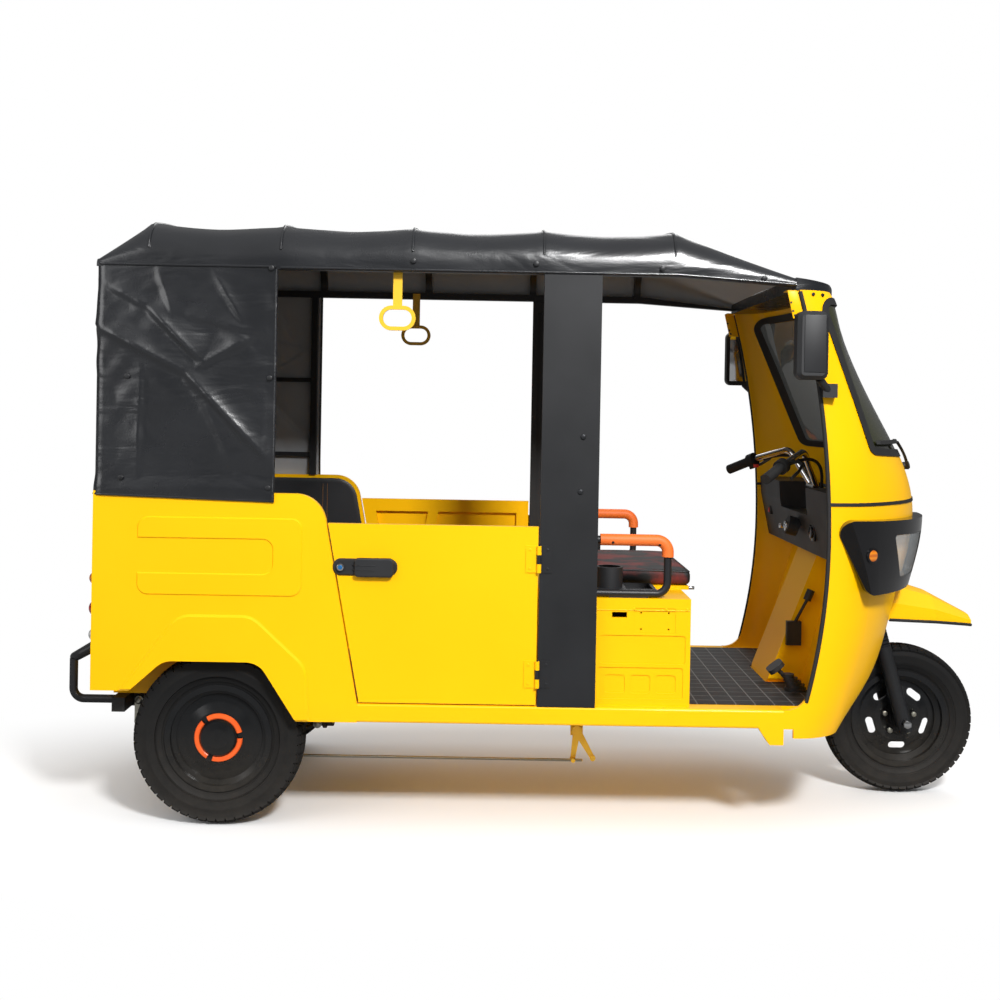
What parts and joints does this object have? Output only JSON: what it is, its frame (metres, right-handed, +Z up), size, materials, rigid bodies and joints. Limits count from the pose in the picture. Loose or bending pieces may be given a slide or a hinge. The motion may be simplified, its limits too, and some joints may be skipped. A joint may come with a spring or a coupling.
{
  "type": "auto rickshaw",
  "caption": "Passenger auto rickshaw with a wrapped cowl and windscreen, a canopy on bows, hinged side doors, bench seats and a steered front wheel.",
  "frame": {"origin": "on the ground under the middle of the bounding box", "axes": "+X forward, +Y to the driver's left, +Z up"},
  "size_m": [3, 1.212, 1.8718],
  "materials": {
    "yellow_paint": "gloss",
    "black_paint": "satin",
    "leatherette": "matte",
    "black_plastic": "matte",
    "orange_rubber": "matte",
    "black_rubber": "matte",
    "tyre": "matte",
    "gloss_black_plastic": "gloss",
    "yellow_plastic": "satin",
    "steel": "satin",
    "chrome": "polished",
    "window_glass": "gloss",
    "lamp_lens": "gloss",
    "signal_lens": "gloss",
    "seat_cover": "matte",
    "battery_case": "matte"
  },
  "bodies": {
    "body": {"front_cowl_lower": "yellow_paint", "front_cowl_upper": "yellow_paint", "quarter_panels": "yellow_paint", "tail_panel": "yellow_paint", "side_sills": "yellow_paint", "driver_seat_box": "yellow_paint", "front_bulkhead": "yellow_paint", "front_mudguard": "yellow_paint", "rear_bench_base": "yellow_paint", "brake_linkage": "yellow_paint", "floor_pan": "yellow_paint", "b_pillars": "black_paint", "chassis_frame": "black_paint", "roof_frame": "black_paint", "rear_axle": "black_paint", "leaf_springs": "black_paint", "rear_bumper": "black_paint", "driver_armrests": "black_paint", "canopy": "leatherette", "quarter_linings": "leatherette", "rear_bench_cushion": "leatherette", "rear_backrest": "leatherette", "dashboard": "black_plastic", "seat_trays": "black_plastic", "mirrors": "black_plastic", "visor": "black_plastic", "driver_controls": "black_plastic", "cowl_strip": "black_plastic", "armrest_grips": "orange_rubber", "windscreen_gasket": "black_rubber", "floor_mats": "black_rubber", "wiper": "black_rubber", "headlamp_housings": "gloss_black_plastic", "grab_handles": "yellow_plastic", "windscreen": "window_glass", "headlamp_lenses": "lamp_lens", "tail_lamps": "signal_lens", "driver_seat_cushion": "seat_cover", "battery_pack": "battery_case"},
    "steering": {"fork": "black_paint", "fork_springs": "steel", "handlebar": "chrome", "handlebar_grips": "black_rubber"},
    "front_wheel": {"front_tyre": "tyre", "front_rim": "black_paint"},
    "rear_wheel_right": {"rear_tyre_right": "tyre", "rear_rim_right": "black_paint", "hub_cap_right": "black_paint"},
    "rear_wheel_left": {"rear_tyre_left": "tyre", "rear_rim_left": "black_paint", "hub_cap_left": "black_paint"},
    "door_right": {"door_right": "yellow_paint", "door_handle_right": "black_plastic"},
    "door_left": {"door_left": "yellow_paint", "door_handle_left": "black_plastic"}
  },
  "joints": [
    {"name": "steering", "type": "hinge", "parent": "body", "child": "steering", "pos_m": [1.246, 0, 0.254], "axis": [-0.2756, 0, 0.9613], "range_deg": [-40, 40]},
    {"name": "front_wheel_spin", "type": "hinge", "parent": "steering", "child": "front_wheel", "pos_m": [1.246, 0, 0.254], "axis": [0, 1, 0], "continuous": true},
    {"name": "rear_wheel_right_spin", "type": "hinge", "parent": "body", "child": "rear_wheel_right", "pos_m": [-0.996, -0.44, 0.265], "axis": [0, 1, 0], "continuous": true},
    {"name": "rear_wheel_left_spin", "type": "hinge", "parent": "body", "child": "rear_wheel_left", "pos_m": [-0.996, 0.44, 0.265], "axis": [0, 1, 0], "continuous": true},
    {"name": "door_right_hinge", "type": "hinge", "parent": "body", "child": "door_right", "pos_m": [-0.0205, -0.5363, 0.66], "axis": [0, 0, 1], "range_deg": [0, 95]},
    {"name": "door_left_hinge", "type": "hinge", "parent": "body", "child": "door_left", "pos_m": [-0.0205, 0.5363, 0.66], "axis": [0, 0, -1], "range_deg": [0, 95]}
  ]
}
